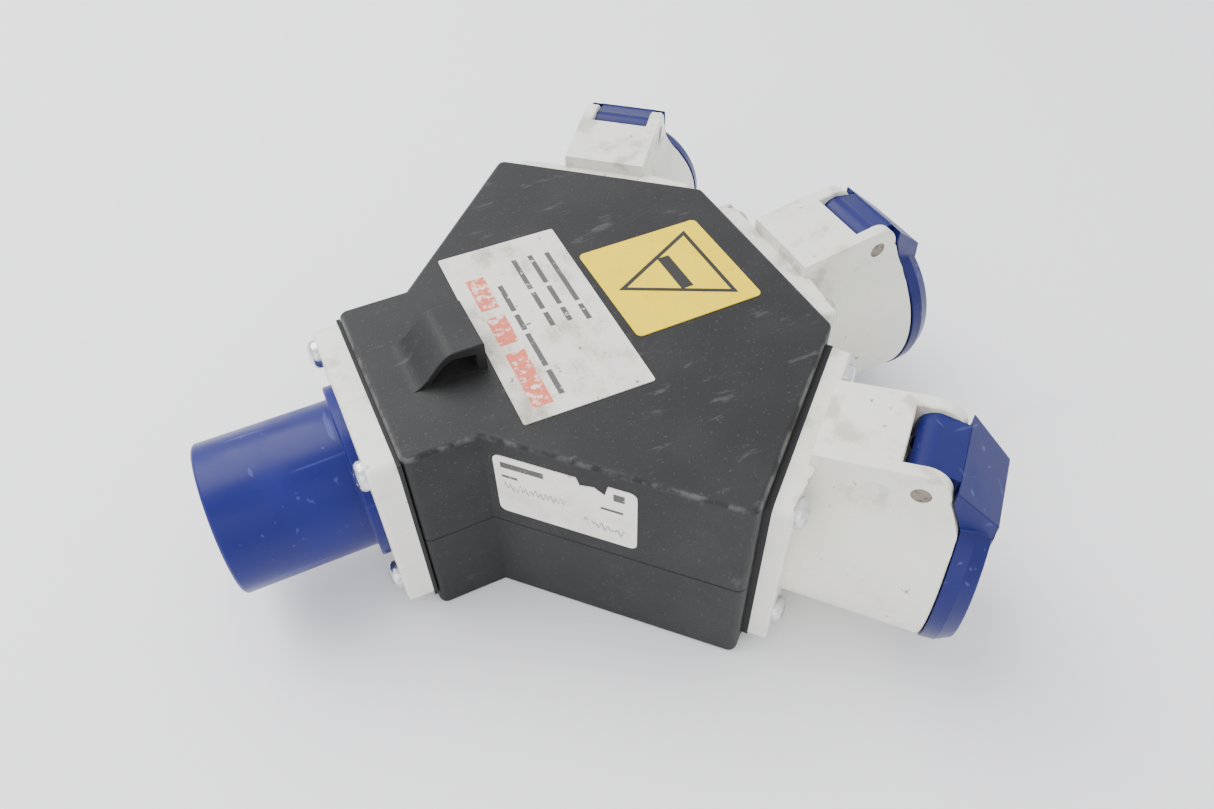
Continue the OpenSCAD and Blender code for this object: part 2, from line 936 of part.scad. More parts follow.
module outlet_lid(i) {
    color(deep_blue)
        at_outlet(i)
            difference() {
                union() {
                    turned([[0, lid_back], [lid_radius, lid_back],
                        [lid_radius - 0.3, lid_break], [lid_front_radius, lid_front],
                        [0, lid_front]]);
                    lid_roof();
                    lid_neck();
                    translate([lid_break, -lip_half_width, -lid_radius - 1.3])
                        cube([lid_front - lid_break, 2 * lip_half_width, 5]);
                }
                turned([[0, lid_back - cut], [lid_radius - lid_wall, lid_back - cut],
                    [lid_radius - lid_wall - 0.3, lid_break - 0.2],
                    [lid_front_radius - 0.6 * lid_wall, lid_front - lid_wall],
                    [0, lid_front - lid_wall]]);
                translate([0, 0, hinge.y])
                    hinge_rod(4 * hinge_half_width, hinge_pin_radius + running);
                spring_pocket();
            }
}

// Rubber ring in the lid that closes on the socket's mouth
module outlet_lid_seal(i) {
    outer = lid_radius - lid_wall - 0.3;
    color(rubber)
        at_outlet(i)
            difference() {
                rod(lid_back - 0.2, lid_back - 0.2 + seal_thickness, outer);
                rod(lid_back - cut, lid_back + seal_thickness + cut, socket_radius - 0.5);
            }
}

// A round wire swept along points: the cross-section turns as little as it can
function way(path, i) =
    unit(path[min(i + 1, len(path) - 1)] - path[max(i - 1, 0)]);
function carried(path, i, last) =
    let (d = way(path, i)) unit(last - d * (last * d));
function side_vectors(path, i, last) =
    i == len(path) ? [] :
    let (v = carried(path, i, last)) concat([v], side_vectors(path, i + 1, v));

module wire(path, radius, sides, start) {
    across_ways = side_vectors(path, 0, start);
    rings = [for (i = [0:len(path) - 1])
        let (u = across_ways[i], v = cross(way(path, i), u))
        for (k = [0:sides - 1])
            path[i] + radius * (cos(360 * k / sides) * u + sin(360 * k / sides) * v)];
    last = len(path) - 1;
    polyhedron(
        rings,
        concat(
            [[for (k = [0:sides - 1]) k]],
            [for (i = [0:last - 1]) for (k = [0:sides - 1])
                [i * sides + k, (i + 1) * sides + k,
                    (i + 1) * sides + (k + 1) % sides, i * sides + (k + 1) % sides]],
            [[for (k = [sides - 1:-1:0]) last * sides + k]]
        )
    );
}

// Torsion spring: a coil round the pin and a leg down to the housing
module outlet_spring(i) {
    steps = 14;
    pitch = 2.15 * spring_wire;
    first = -spring_turns * pitch / 2;
    coil = [for (k = [0:spring_turns * steps])
        let (p = polar(spring_radius, leg_angle + 360 * k / steps))
        [p.x, first + pitch * k / steps, p.y]];
    leg_foot = polar((hinge.y - recess_floor - spring_wire) / -sin(leg_angle), leg_angle);
    leg_end = [leg_foot.x, first, leg_foot.y];
    color(spring_steel)
        at_outlet(i)
            translate([hinge.x, 0, hinge.y])
                wire(concat([leg_end, (leg_end + coil[0]) / 2], coil),
                    spring_wire, 6, [0, 1, 0]);
}

// Wires from the inlet's blocks to the outlets' blocks, on smooth curves
wire_radius = 1.7;
wire_rings = 22;
wire_spread = 4.4;
wire_lead = 2;
wire_start_x = front_x + carrier_back + block_length;
wire_end = -carrier_back - block_length;

function curve(a, b, c, d, s) =
    pow(1 - s, 3) * a + 3 * pow(1 - s, 2) * s * b + 3 * (1 - s) * s * s * c
        + pow(s, 3) * d;

// Place in the part's frame of a point in outlet i's frame
function from_outlet(i, x, y, z) =
    let (a = outlet_angles[i], c = outlet_centres[i])
    [c.x + x * cos(a) - y * sin(a), c.y + x * sin(a) + y * cos(a), outlet_axis + z];

// The inlet's local Y runs along -Y of the part
module pole_wires(inlet_place, outlet_place, lift) {
    for (i = [0:2]) {
        start = [wire_start_x, -inlet_place.x + (1 - i) * wire_spread,
            inlet_axis + inlet_place.y];
        stop = from_outlet(i, wire_end, outlet_place.x, outlet_place.y);
        gap = norm(stop - start);
        bend_start = start + [wire_lead, 0, 0];
        start_way = start + [0.4 * gap, 0, 0];
        stop_way = from_outlet(i, wire_end - 0.45 * gap, outlet_place.x, outlet_place.y);
        bend_stop = from_outlet(i, wire_end - wire_lead, outlet_place.x, outlet_place.y);
        bend = [for (k = [0:wire_rings])
            let (s = k / wire_rings, bow = 16 * s * s * (1 - s) * (1 - s))
            curve(bend_start, start_way, stop_way, bend_stop, s) + [0, 0, bow * lift[i]]];
        wire(concat([start], bend, [stop]), wire_radius, 8, [0, 0, 1]);
    }
}

module line_wires() {
    color([0.45, 0.25, 0.12])
        pole_wires(inlet_line, outlet_line, [22, 12, 8]);
}

module neutral_wires() {
    color([0.15, 0.3, 0.75])
        pole_wires(inlet_neutral, outlet_neutral, [0, -4, -12]);
}

module earth_wires() {
    color([0.35, 0.6, 0.2])
        pole_wires([0, earth_z], [0, earth_z], [0, 0, 0]);
}

top_shell();
bottom_shell();
shell_screws();
shell_inserts();
flange_inserts();
hazard_label();
plate_label();
test_label();
inlet_gasket();
inlet_flange();
inlet_shroud();
inlet_carrier();
inlet_line_pin();
inlet_neutral_pin();
inlet_earth_pin();
inlet_flange_screws();
inlet_terminal_screws();
line_wires();
neutral_wires();
earth_wires();
outlet_gasket(0);  // left_gasket
outlet_housing(0);  // left_housing
outlet_carrier(0);  // left_carrier
outlet_core(0);  // left_core
outlet_live_contacts(0);  // left_live_contacts
outlet_earth_contact(0);  // left_earth_contact
outlet_terminal_screws(0);  // left_terminal_screws
outlet_flange_screws(0);  // left_flange_screws
outlet_hinge_pin(0);  // left_hinge_pin
outlet_spring(0);  // left_spring
outlet_lid(0);  // left_lid
outlet_lid_seal(0);  // left_lid_seal
outlet_gasket(1);  // middle_gasket
outlet_housing(1);  // middle_housing
outlet_carrier(1);  // middle_carrier
outlet_core(1);  // middle_core
outlet_live_contacts(1);  // middle_live_contacts
outlet_earth_contact(1);  // middle_earth_contact
outlet_terminal_screws(1);  // middle_terminal_screws
outlet_flange_screws(1);  // middle_flange_screws
outlet_hinge_pin(1);  // middle_hinge_pin
outlet_spring(1);  // middle_spring
outlet_lid(1);  // middle_lid
outlet_lid_seal(1);  // middle_lid_seal
outlet_gasket(2);  // right_gasket
outlet_housing(2);  // right_housing
outlet_carrier(2);  // right_carrier
outlet_core(2);  // right_core
outlet_live_contacts(2);  // right_live_contacts
outlet_earth_contact(2);  // right_earth_contact
outlet_terminal_screws(2);  // right_terminal_screws
outlet_flange_screws(2);  // right_flange_screws
outlet_hinge_pin(2);  // right_hinge_pin
outlet_spring(2);  // right_spring
outlet_lid(2);  // right_lid
outlet_lid_seal(2);  // right_lid_seal
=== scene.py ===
# %% [markdown]
# A portable power distribution box
#
# One blue pin inlet feeds three outlets with spring-closed lids. All four connectors
# are screwed to the walls of a two-part rubber shell. The exact parts come in as a
# fixed frame. This lesson gives each visible part its soft edges and its finish.

# %% Load the frame
import json
from math import cos, radians, sin

import bmesh
import bpy
from mathutils import Matrix, Vector


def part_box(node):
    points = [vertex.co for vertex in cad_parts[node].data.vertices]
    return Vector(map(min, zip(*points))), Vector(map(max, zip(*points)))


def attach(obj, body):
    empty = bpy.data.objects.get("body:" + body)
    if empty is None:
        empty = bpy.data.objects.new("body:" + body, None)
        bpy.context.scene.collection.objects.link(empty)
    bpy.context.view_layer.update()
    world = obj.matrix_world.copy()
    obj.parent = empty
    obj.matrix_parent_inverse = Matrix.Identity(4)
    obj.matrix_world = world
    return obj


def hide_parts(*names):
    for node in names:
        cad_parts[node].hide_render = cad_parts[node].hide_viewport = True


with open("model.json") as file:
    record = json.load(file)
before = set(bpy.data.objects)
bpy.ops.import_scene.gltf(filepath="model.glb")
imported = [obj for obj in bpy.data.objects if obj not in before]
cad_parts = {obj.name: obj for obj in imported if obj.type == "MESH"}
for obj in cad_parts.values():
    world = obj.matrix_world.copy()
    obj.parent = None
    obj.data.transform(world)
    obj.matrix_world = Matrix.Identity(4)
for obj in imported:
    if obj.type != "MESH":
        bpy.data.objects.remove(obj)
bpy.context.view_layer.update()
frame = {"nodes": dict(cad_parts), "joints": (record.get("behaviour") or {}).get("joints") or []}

MM = 0.001
nodes = frame["nodes"]

# %% [markdown]
# Camera. The box is seen from above and from its inlet side, so the view is set by an
# azimuth, an elevation and a small roll about a point near the middle of the shell.

# %% Camera
AZIMUTH, ELEVATION, ROLL = radians(-24.81), radians(47.69), radians(-1.32)
TARGET = Vector((6.18, -8.15, 38.33)) * MM
DISTANCE = 322.97 * MM

back = Vector((sin(AZIMUTH) * cos(ELEVATION), -cos(AZIMUTH) * cos(ELEVATION), sin(ELEVATION)))
level = Vector((0, 0, 1)).cross(back).normalized()
upright = back.cross(level)
right = level * cos(ROLL) + upright * sin(ROLL)
up = upright * cos(ROLL) - level * sin(ROLL)

camera_data = bpy.data.cameras.new("camera")
camera_data.sensor_width = 36
camera_data.lens = 26.68
camera_data.clip_start = 0.01
camera = bpy.data.objects.new("camera", camera_data)
camera_turn = Matrix((right, up, back)).transposed().to_4x4()
camera.matrix_world = Matrix.Translation(TARGET + back * DISTANCE) @ camera_turn
bpy.context.scene.collection.objects.link(camera)
bpy.context.scene.camera = camera
print("camera at", [round(v, 4) for v in camera.matrix_world.translation])

# %% [markdown]
# Materials are built from a few small steps that are used again and again: a colour
# given as a screen value, a noise on the piece's own coordinates, and a mix of two
# colours by a mask. Object coordinates keep a pattern fixed to its piece.

# %% Helpers for materials
def screen(r, g, b):
    """A colour as seen on a screen, 0 to 255, as the linear colour that a shader takes."""
    linear = [((c / 255 + 0.055) / 1.055) ** 2.4 if c > 10 else c / 255 / 12.92 for c in (r, g, b)]
    return (*linear, 1.0)


def plain_material(name, colour, roughness, metallic=0.0):
    """A new material of one colour, with its node tree and its shader."""
    material = bpy.data.materials.new(name)
    material.use_nodes = True
    shader = material.node_tree.nodes["Principled BSDF"]
    shader.inputs["Base Color"].default_value = colour
    shader.inputs["Roughness"].default_value = roughness
    shader.inputs["Metallic"].default_value = metallic
    return material, material.node_tree, shader


def connect(tree, value, socket):
    """Links a socket to a socket, or sets a plain value."""
    if isinstance(value, bpy.types.NodeSocket):
        tree.links.new(value, socket)
    else:
        socket.default_value = value


def noise(tree, scale, detail=3.0, stretch=(1, 1, 1), turn=(0, 0, 0), roughness=0.55):
    """Noise on the piece's own coordinates. The scale is in patches to the metre."""
    place = tree.nodes.new("ShaderNodeTexCoord")
    mapping = tree.nodes.new("ShaderNodeMapping")
    mapping.inputs["Scale"].default_value = stretch
    mapping.inputs["Rotation"].default_value = turn
    texture = tree.nodes.new("ShaderNodeTexNoise")
    texture.inputs["Scale"].default_value = scale
    texture.inputs["Detail"].default_value = detail
    texture.inputs["Roughness"].default_value = roughness
    tree.links.new(place.outputs["Object"], mapping.inputs["Vector"])
    tree.links.new(mapping.outputs["Vector"], texture.inputs["Vector"])
    return texture.outputs["Fac"]


def mask(tree, value, low, high, top=1.0):
    """0 below low, rising smoothly to top at high."""
    ramp = tree.nodes.new("ShaderNodeMapRange")
    ramp.interpolation_type = "SMOOTHSTEP"
    ramp.inputs["From Min"].default_value = low
    ramp.inputs["From Max"].default_value = high
    ramp.inputs["To Max"].default_value = top
    tree.links.new(value, ramp.inputs["Value"])
    return ramp.outputs["Result"]


def height_band(tree, low, high):
    """0 under the height low and 1 over the height high, both in metres."""
    place = tree.nodes.new("ShaderNodeTexCoord")
    parts = tree.nodes.new("ShaderNodeSeparateXYZ")
    tree.links.new(place.outputs["Object"], parts.inputs["Vector"])
    return mask(tree, parts.outputs["Z"], low, high)


# Where the colour sockets stand in a mix node's lists
MIX_FACTOR, MIX_A, MIX_B, MIX_RESULT = 0, 6, 7, 2


def mix(tree, factor, a, b):
    """The colour a where the factor is 0, the colour b where it is 1."""
    node = tree.nodes.new("ShaderNodeMix")
    node.data_type = "RGBA"
    for value, index in ((factor, MIX_FACTOR), (a, MIX_A), (b, MIX_B)):
        connect(tree, value, node.inputs[index])
    return node.outputs[MIX_RESULT]


def maths(tree, operation, a, b):
    """One sum on two values, each of them a socket or a number."""
    node = tree.nodes.new("ShaderNodeMath")
    node.operation = operation
    connect(tree, a, node.inputs[0])
    connect(tree, b, node.inputs[1])
    return node.outputs[0]


def roughen(tree, shader, height, depth, strength):
    """Gives the surface a relief: height is a mask, depth is in metres."""
    bump = tree.nodes.new("ShaderNodeBump")
    bump.inputs["Strength"].default_value = strength
    bump.inputs["Distance"].default_value = depth
    tree.links.new(height, bump.inputs["Height"])
    tree.links.new(bump.outputs["Normal"], shader.inputs["Normal"])


print("material helpers ready")

# %% [markdown]
# Rubber. The shell is moulded in a charcoal rubber with a fine grain. Handling leaves
# pale scuffs and dust in patches, and the top edge is worn; its pale band is partly wear
# and partly a painted highlight. A flat dark colour would look like painted metal, so several
# noises do the work: grain, dust, specks, scuffs, and wear with a painted highlight.

# %% Rubber
# Wear and a painted highlight show on the shell's top edge as a pale band: it sets in over
# the first two heights, in metres, and stops over the last two, just below the flat top.
WEAR_AND_HIGHLIGHT_STARTS = 0.0768, 0.0784
WEAR_AND_HIGHLIGHT_STOPS = 0.0786, 0.079


def rubber_material(name, dark, dusty):
    material, tree, shader = plain_material(name, dark, 0.62)
    shader.inputs["Specular IOR Level"].default_value = 0.3
    dust = mask(tree, noise(tree, 38, 5.0), 0.4, 0.7, 0.6)
    speck = mask(tree, noise(tree, 900, 2.0), 0.62, 0.76, 0.5)
    scuff = mask(tree, noise(tree, 55, 6.0, (1, 3.2, 1), (0, 0, 0.6), 0.7), 0.6, 0.72, 0.6)
    # The rim band is partly wear and partly a painted highlight along the top edge.
    edge = height_band(tree, *WEAR_AND_HIGHLIGHT_STARTS)
    patches = mask(tree, noise(tree, 150, 6.0), 0.4, 0.62)
    wear_and_highlight = maths(tree, "MULTIPLY", edge, patches)
    below_top = maths(tree, "SUBTRACT", 1.0, height_band(tree, *WEAR_AND_HIGHLIGHT_STOPS))
    wear_and_highlight = maths(tree, "MULTIPLY", wear_and_highlight, maths(tree, "MULTIPLY", below_top, 0.45))
    colour = mix(tree, dust, dark, dusty)
    colour = mix(tree, speck, colour, screen(76, 76, 78))
    colour = mix(tree, scuff, colour, screen(80, 79, 78))
    # Pale rim colour: partly wear, partly a painted highlight where the edge catches the light.
    colour = mix(tree, wear_and_highlight, colour, screen(110, 110, 110))
    connect(tree, colour, shader.inputs["Base Color"])
    rough = maths(tree, "ADD", 0.5, maths(tree, "MULTIPLY", scuff, 0.3))
    connect(tree, rough, shader.inputs["Roughness"])
    roughen(tree, shader, noise(tree, 1700, 3.0), 0.00012, 0.6)
    return material


shell_rubber = rubber_material("shell_rubber", screen(26, 26, 27), screen(38, 38, 38))
black_rubber, tree, shader = plain_material("black_rubber", screen(16, 16, 17), 0.7)
roughen(tree, shader, noise(tree, 1400), 0.0001, 0.5)
print("rubber materials made")

# %% [markdown]
# Moulded plastic. The housings and the plate behind the inlet are warm white and pick
# up grey smudges. The shroud and the lids are a deep blue, with fine scratches that
# show paler. Both are glossy, so the gloss is broken up a little by a second noise.

# %% Moulded plastics
# Grime gathers on the upper part of a housing, and sets in between these heights in metres
GRIME_STARTS = 0.06, 0.072


def white_plastic_material(name):
    white = screen(226, 225, 214)
    material, tree, shader = plain_material(name, white, 0.4)
    shader.inputs["Specular IOR Level"].default_value = 0.4
    smudge = mask(tree, noise(tree, 42, 6.0, roughness=0.68), 0.54, 0.74, 0.42)
    streak = mask(tree, noise(tree, 34, 6.0, (1, 1, 0.25), roughness=0.7), 0.58, 0.72, 0.4)
    upper = height_band(tree, *GRIME_STARTS)
    patches = mask(tree, noise(tree, 95, 5.0), 0.52, 0.68, 0.5)
    grime = maths(tree, "MULTIPLY", upper, patches)
    spot = mask(tree, noise(tree, 210, 4.0), 0.67, 0.73, 0.8)
    colour = mix(tree, smudge, white, screen(190, 186, 172))
    colour = mix(tree, streak, colour, screen(196, 192, 180))
    colour = mix(tree, grime, colour, screen(150, 146, 134))
    colour = mix(tree, spot, colour, screen(104, 94, 82))
    connect(tree, colour, shader.inputs["Base Color"])
    connect(tree, mask(tree, noise(tree, 60), 0.3, 0.8, 0.6), shader.inputs["Roughness"])
    roughen(tree, shader, noise(tree, 260, 2.0), 0.00006, 0.35)
    return material


def blue_plastic_material(name, deep, pale, scratched):
    material, tree, shader = plain_material(name, deep, 0.36)
    shader.inputs["Specular IOR Level"].default_value = 0.3
    worn = mask(tree, noise(tree, 45, 5.0), 0.42, 0.75, 0.6)
    along = mask(tree, noise(tree, 260, 2.0, (0.06, 1, 1), (0.2, 0.3, 0.5)), 0.66, 0.72, 0.35)
    across = mask(tree, noise(tree, 300, 2.0, (1, 0.05, 1), (0.5, 0.2, -0.7)), 0.67, 0.73, 0.35)
    nick = mask(tree, noise(tree, 420, 2.0), 0.73, 0.78, 0.6)
    colour = mix(tree, worn, deep, pale)
    for scratch in (along, across, nick):
        colour = mix(tree, scratch, colour, scratched)
    connect(tree, colour, shader.inputs["Base Color"])
    rough = maths(tree, "ADD", 0.3, maths(tree, "MULTIPLY", worn, 0.35))
    connect(tree, rough, shader.inputs["Roughness"])
    roughen(tree, shader, noise(tree, 160, 3.0), 0.00008, 0.3)
    return material


white_plastic = white_plastic_material("white_plastic")
shroud_blue = blue_plastic_material(
    "shroud_blue", screen(4, 12, 96), screen(10, 22, 112), screen(70, 84, 160)
)
lid_blue = blue_plastic_material(
    "lid_blue", screen(8, 16, 86), screen(20, 30, 102), screen(90, 100, 160)
)
black_plastic, tree, shader = plain_material("black_plastic", screen(34, 34, 36), 0.45)
roughen(tree, shader, noise(tree, 700), 0.00005, 0.4)
print("plastic materials made")

# %% [markdown]
# Metals and wires. The screws are bright zinc with a little dullness, the hinge pins are
# duller steel, the contacts are turned brass and the wires have plain soft insulation in
# three colours.

# %% Metals and wires
def metal_material(name, colour, dull, roughness, scale):
    material, tree, shader = plain_material(name, colour, roughness, 1.0)
    tarnish = mask(tree, noise(tree, scale, 5.0), 0.45, 0.72, 0.7)
    connect(tree, mix(tree, tarnish, colour, dull), shader.inputs["Base Color"])
    rough = maths(tree, "ADD", roughness, maths(tree, "MULTIPLY", tarnish, 0.25))
    connect(tree, rough, shader.inputs["Roughness"])
    roughen(tree, shader, noise(tree, 5 * scale, 2.0), 0.00003, 0.4)
    return material


def wire_material(name, colour):
    material, tree, shader = plain_material(name, colour, 0.4)
    shade = mask(tree, noise(tree, 90), 0.3, 0.8, 0.25)
    connect(tree, mix(tree, shade, colour, screen(30, 30, 30)), shader.inputs["Base Color"])
    return material


zinc = metal_material("zinc", screen(214, 215, 216), screen(150, 150, 148), 0.24, 400)
pin_steel = metal_material("pin_steel", screen(136, 128, 118), screen(82, 74, 66), 0.42, 500)
spring_wire = metal_material("spring_wire", screen(150, 150, 154), screen(96, 94, 92), 0.35, 500)
brass = metal_material("brass", screen(214, 178, 96), screen(150, 118, 62), 0.3, 300)
brown_wire = wire_material("brown_wire", screen(110, 62, 34))
blue_wire = wire_material("blue_wire", screen(48, 84, 190))
green_wire = wire_material("green_wire", screen(96, 150, 56))
print("metal and wire materials made")

# %% [markdown]
# Printed films. Each label is a thin film with dirt rubbed into it, and its print is a
# separate thin layer that has worn away in places, so the film shows through.

# %% Printed films
def film_material(name, colour, dirt, amount, gloss):
    material, tree, shader = plain_material(name, colour, gloss)
    smear = mask(tree, noise(tree, 48, 6.0, (1, 0.55, 1), roughness=0.72), 0.46, 0.7, amount)
    fleck = mask(tree, noise(tree, 330, 4.0), 0.66, 0.72, amount)
    colour = mix(tree, smear, colour, dirt)
    colour = mix(tree, fleck, colour, screen(90, 84, 74))
    connect(tree, colour, shader.inputs["Base Color"])
    shader.inputs["Specular IOR Level"].default_value = 0.2
    return material


def print_material(name, ink, film, low, high):
    material, tree, shader = plain_material(name, ink, 0.5)
    gone = mask(tree, noise(tree, 420, 5.0, roughness=0.7), low, high)
    connect(tree, mix(tree, gone, ink, film), shader.inputs["Base Color"])
    return material


film_white = screen(222, 220, 210)
test_white = screen(234, 232, 224)
yellow_film = film_material("yellow_film", screen(240, 208, 0), screen(180, 150, 10), 0.25, 0.6)
plate_film = film_material("plate_film", film_white, screen(150, 142, 122), 0.85, 0.5)
test_film = film_material("test_film", test_white, screen(186, 180, 168), 0.4, 0.45)
black_print = print_material("black_print", screen(20, 18, 16), screen(220, 178, 20), 0.68, 0.76)
red_print = print_material("red_print", screen(214, 104, 78), film_white, 0.5, 0.64)
grey_print = print_material("grey_print", screen(74, 72, 72), film_white, 0.58, 0.7)
pen_ink = print_material("pen_ink", screen(120, 122, 140), test_white, 0.5, 0.66)
print("film and print materials made")

# %% [markdown]
# From exact part to soft part. A moulded part has no knife edges: every edge has a
# small radius that catches the light. The exact part's mesh is copied, its loose
# triangles are merged, flat areas are joined up, and chosen edges are rounded.

# %% Helpers for pieces
SAME_POINT = 2e-6
SAME_PLANE = radians(0.4)


def merged_copy(node):
    """The node's mesh with its triangles merged and its flat areas joined."""
    bm = bmesh.new()
    bm.from_mesh(nodes[node].data)
    bmesh.ops.remove_doubles(bm, verts=bm.verts, dist=SAME_POINT)
    bmesh.ops.dissolve_limit(bm, angle_limit=SAME_PLANE, verts=bm.verts, edges=bm.edges)
    return bm


def round_edges(bm, chosen, radius, segments=3, bluntest=28):
    """Bevels edges whose two ends pass the test, where faces turn by more than bluntest degrees."""
    bm.normal_update()
    edges = [
        e for e in bm.edges
        if len(e.link_faces) == 2
        and e.calc_face_angle(0) > radians(bluntest)
        and all(chosen(v.co / MM) for v in e.verts)
    ]
    bmesh.ops.bevel(
        bm, geom=edges, offset=radius * MM, offset_type="OFFSET", affect="EDGES",
        segments=segments, profile=0.5, material=-1, clamp_overlap=False,
    )
    return len(edges)


# %% Helpers for shading
# A face counts as turned if its normal leans across X by this much, its corners are off
# the axis, and it looks along the arm from the axis nearly enough.
LEAST_LEAN = 0.3
SHORTEST_ARM = 1 * MM
LEAST_AGREEMENT = 0.996

# A flat face of this area keeps its own normal, and faces within this angle blend
LARGE_FACE = 12 * MM * MM
BLEND_ANGLE = radians(40)


def turned_normal(corner, normal, axis):
    """The normal at a corner of a face that was turned about a line along X, or None."""
    arm = Vector((0, corner.y - axis[0] * MM, corner.z - axis[1] * MM))
    flat = Vector((0, normal.y, normal.z))
    if flat.length < LEAST_LEAN or arm.length < SHORTEST_ARM:
        return None
    arm.normalize()
    lean = flat.normalized().dot(arm)
    if abs(lean) < LEAST_AGREEMENT:
        return None
    side = flat.length if lean > 0 else -flat.length
    return Vector((normal.x, 0, 0)) + arm * side


def even_normals(mesh, axes):
    """Flat and turned faces keep their true normals and the soft edges blend into them."""
    true = {}
    for face in mesh.polygons:
        corners = [mesh.vertices[v].co for v in face.vertices]
        for axis in axes:
            found = [turned_normal(corner, face.normal, axis) for corner in corners]
            if None not in found:
                true[face.index] = found
                break
        else:
            if face.area > LARGE_FACE:
                true[face.index] = [face.normal.copy() for _ in corners]
    around = {}
    for face in mesh.polygons:
        for k, v in enumerate(face.vertices):
            known = true.get(face.index)
            around.setdefault(v, []).append((face.normal, known[k] if known else None, face.area))
    normals = [None] * len(mesh.loops)
    for face in mesh.polygons:
        for k, (loop, v) in enumerate(zip(face.loop_indices, face.vertices)):
            if face.index in true:
                normals[loop] = true[face.index][k]
                continue
            close = [entry for entry in around[v] if entry[0].dot(face.normal) > cos(BLEND_ANGLE)]
            known = [entry[1] for entry in close if entry[1]]
            total = sum(known, Vector()) if known else sum((n * a for n, _, a in close), Vector())
            normals[loop] = total.normalized() if total.length > 0 else face.normal.copy()
    return normals


# %% Helper that finishes a piece
CREASE = radians(35)


def finish_piece(bm, name, material, body, replaced=(), axes=(), place=None, even=True):
    """Makes the object, smooths it, hangs it on its body, and hides the exact parts it replaces."""
    mesh = bpy.data.meshes.new(name)
    bm.to_mesh(mesh)
    bm.free()
    mesh.materials.append(material)
    mesh.shade_smooth()
    place = place or Matrix()
    if even:
        normals = even_normals(mesh, axes)
        mesh.transform(place)
        mesh.normals_split_custom_set([place.to_3x3() @ n for n in normals])
    else:
        mesh.transform(place)
        mesh.set_sharp_from_angle(angle=CREASE)
    piece = bpy.data.objects.new(name, mesh)
    bpy.context.scene.collection.objects.link(piece)
    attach(piece, body)
    if replaced:
        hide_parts(*replaced)
    print(name, len(mesh.vertices), "points", len(mesh.polygons), "faces")


print("piece helpers ready")

# %% [markdown]
# The shell. Two halves meet at a seam a little under half way up. The top edge and the
# floor edge have small radii, and the seam a slight round on each side that makes the
# thin line seen along the walls.

# %% Upper shell with its hanging lug
SHELL_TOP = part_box("plate_label")[0].z / MM
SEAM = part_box("top_shell")[0].z / MM
LUG_START, LUG_END, LUG_HALF = -60.2, -35.6, 11.2
TOP_RADIUS = 1.6
SEAM_RADIUS = 0.45
LUG_RADIUS = 0.5


def near(value, wanted, margin=0.05):
    return abs(value - wanted) < margin


def in_lug(p, margin=1):
    return LUG_START - margin < p.x < LUG_END + margin and abs(p.y) < LUG_HALF + margin


def on_lug_side(p):
    return in_lug(p) and p.z > SHELL_TOP + TOP_RADIUS and near(abs(p.y), LUG_HALF)


bm = merged_copy("top_shell")
rims = round_edges(bm, lambda p: near(p.z, SHELL_TOP) and not in_lug(p), TOP_RADIUS, 5)
seams = round_edges(bm, lambda p: near(p.z, SEAM), SEAM_RADIUS, 2)
print("top rim", rims, "edges, seam", seams)
sides = round_edges(bm, on_lug_side, LUG_RADIUS, 2, 50)
print("lug sides", sides)
finish_piece(bm, "upper_shell", shell_rubber, "box", ["top_shell"])

# %% Lower shell
FLOOR_RADIUS = 1.4

bm = merged_copy("bottom_shell")
round_edges(bm, lambda p: near(p.z, 0), FLOOR_RADIUS, 4)
round_edges(bm, lambda p: near(p.z, SEAM), SEAM_RADIUS, 2)
finish_piece(bm, "lower_shell", shell_rubber, "box", ["bottom_shell"])

# %% [markdown]
# The inlet. A thick white plate carries a blue shroud that stands round three pins. The
# plate's edges are soft, and the shroud's rim and base ring have small radii.

# %% Inlet
INLET_UP = 41.5
PLATE_RADIUS = 1.3
PLATE_EDGE = 28
PLATE_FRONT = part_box("inlet_flange")[0].x / MM
INLET_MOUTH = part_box("inlet_shroud")[0].x / MM
RIM_SLOPE, RIM_RADIUS = 0.8, 0.3
RING_DEPTH, RING_RADIUS = 3, 0.6


def square_reach(p, up):
    """How far a point is from an axis along X at this height, measured as a square."""
    return max(abs(p.y), abs(p.z - up))


bm = merged_copy("inlet_flange")
round_edges(
    bm, lambda p: near(p.x, PLATE_FRONT) and square_reach(p, INLET_UP) > PLATE_EDGE, PLATE_RADIUS, 4
)
finish_piece(bm, "inlet_plate", white_plastic, "box", ["inlet_flange"])

bm = merged_copy("inlet_shroud")
rim = round_edges(
    bm, lambda p: near(p.x, INLET_MOUTH) or near(p.x, INLET_MOUTH + RIM_SLOPE), RIM_RADIUS, 2, 30
)
ring = round_edges(bm, lambda p: near(p.x, PLATE_FRONT - RING_DEPTH), RING_RADIUS, 3, 50)
print("shroud rim", rim, "base ring", ring)
finish_piece(
    bm, "inlet_tube", shroud_blue, "box", ["inlet_shroud"], axes=[(0, INLET_UP)]
)

# %% [markdown]
# The outlets. Left, middle and right are the same parts at three angles, so each piece
# is made once from the middle outlet and turned to its place. The hinge pins of the
# lids give the three places: the turn of each joint's axis is the turn of its outlet.

# %% Places of the three outlets
SIDES = ("left", "middle", "right")
OUTLET_UP = 40
hinges = {j["name"].split("_")[0]: j for j in frame["joints"]}


def place_of(side):
    """The move that takes a piece from the middle outlet to this one."""
    def stand(s):
        x, y, z = hinges[s]["axis"]
        turn = Matrix(((-y, -x, 0), (x, -y, 0), (0, 0, 1))).to_4x4()
        return Matrix.Translation(Vector(hinges[s]["pos_m"])) @ turn
    return stand(side) @ stand("middle").inverted()


def for_each_side(bm, part, material, body, kinds, axes=((0, OUTLET_UP),)):
    """Makes the left, middle and right copies of a piece of the middle outlet."""
    for side in SIDES:
        finish_piece(
            bm.copy(), f"{side}_{part}", material, body.format(side),
            [f"{side}_{kind}" for kind in kinds], axes, place_of(side),
        )
    bm.free()


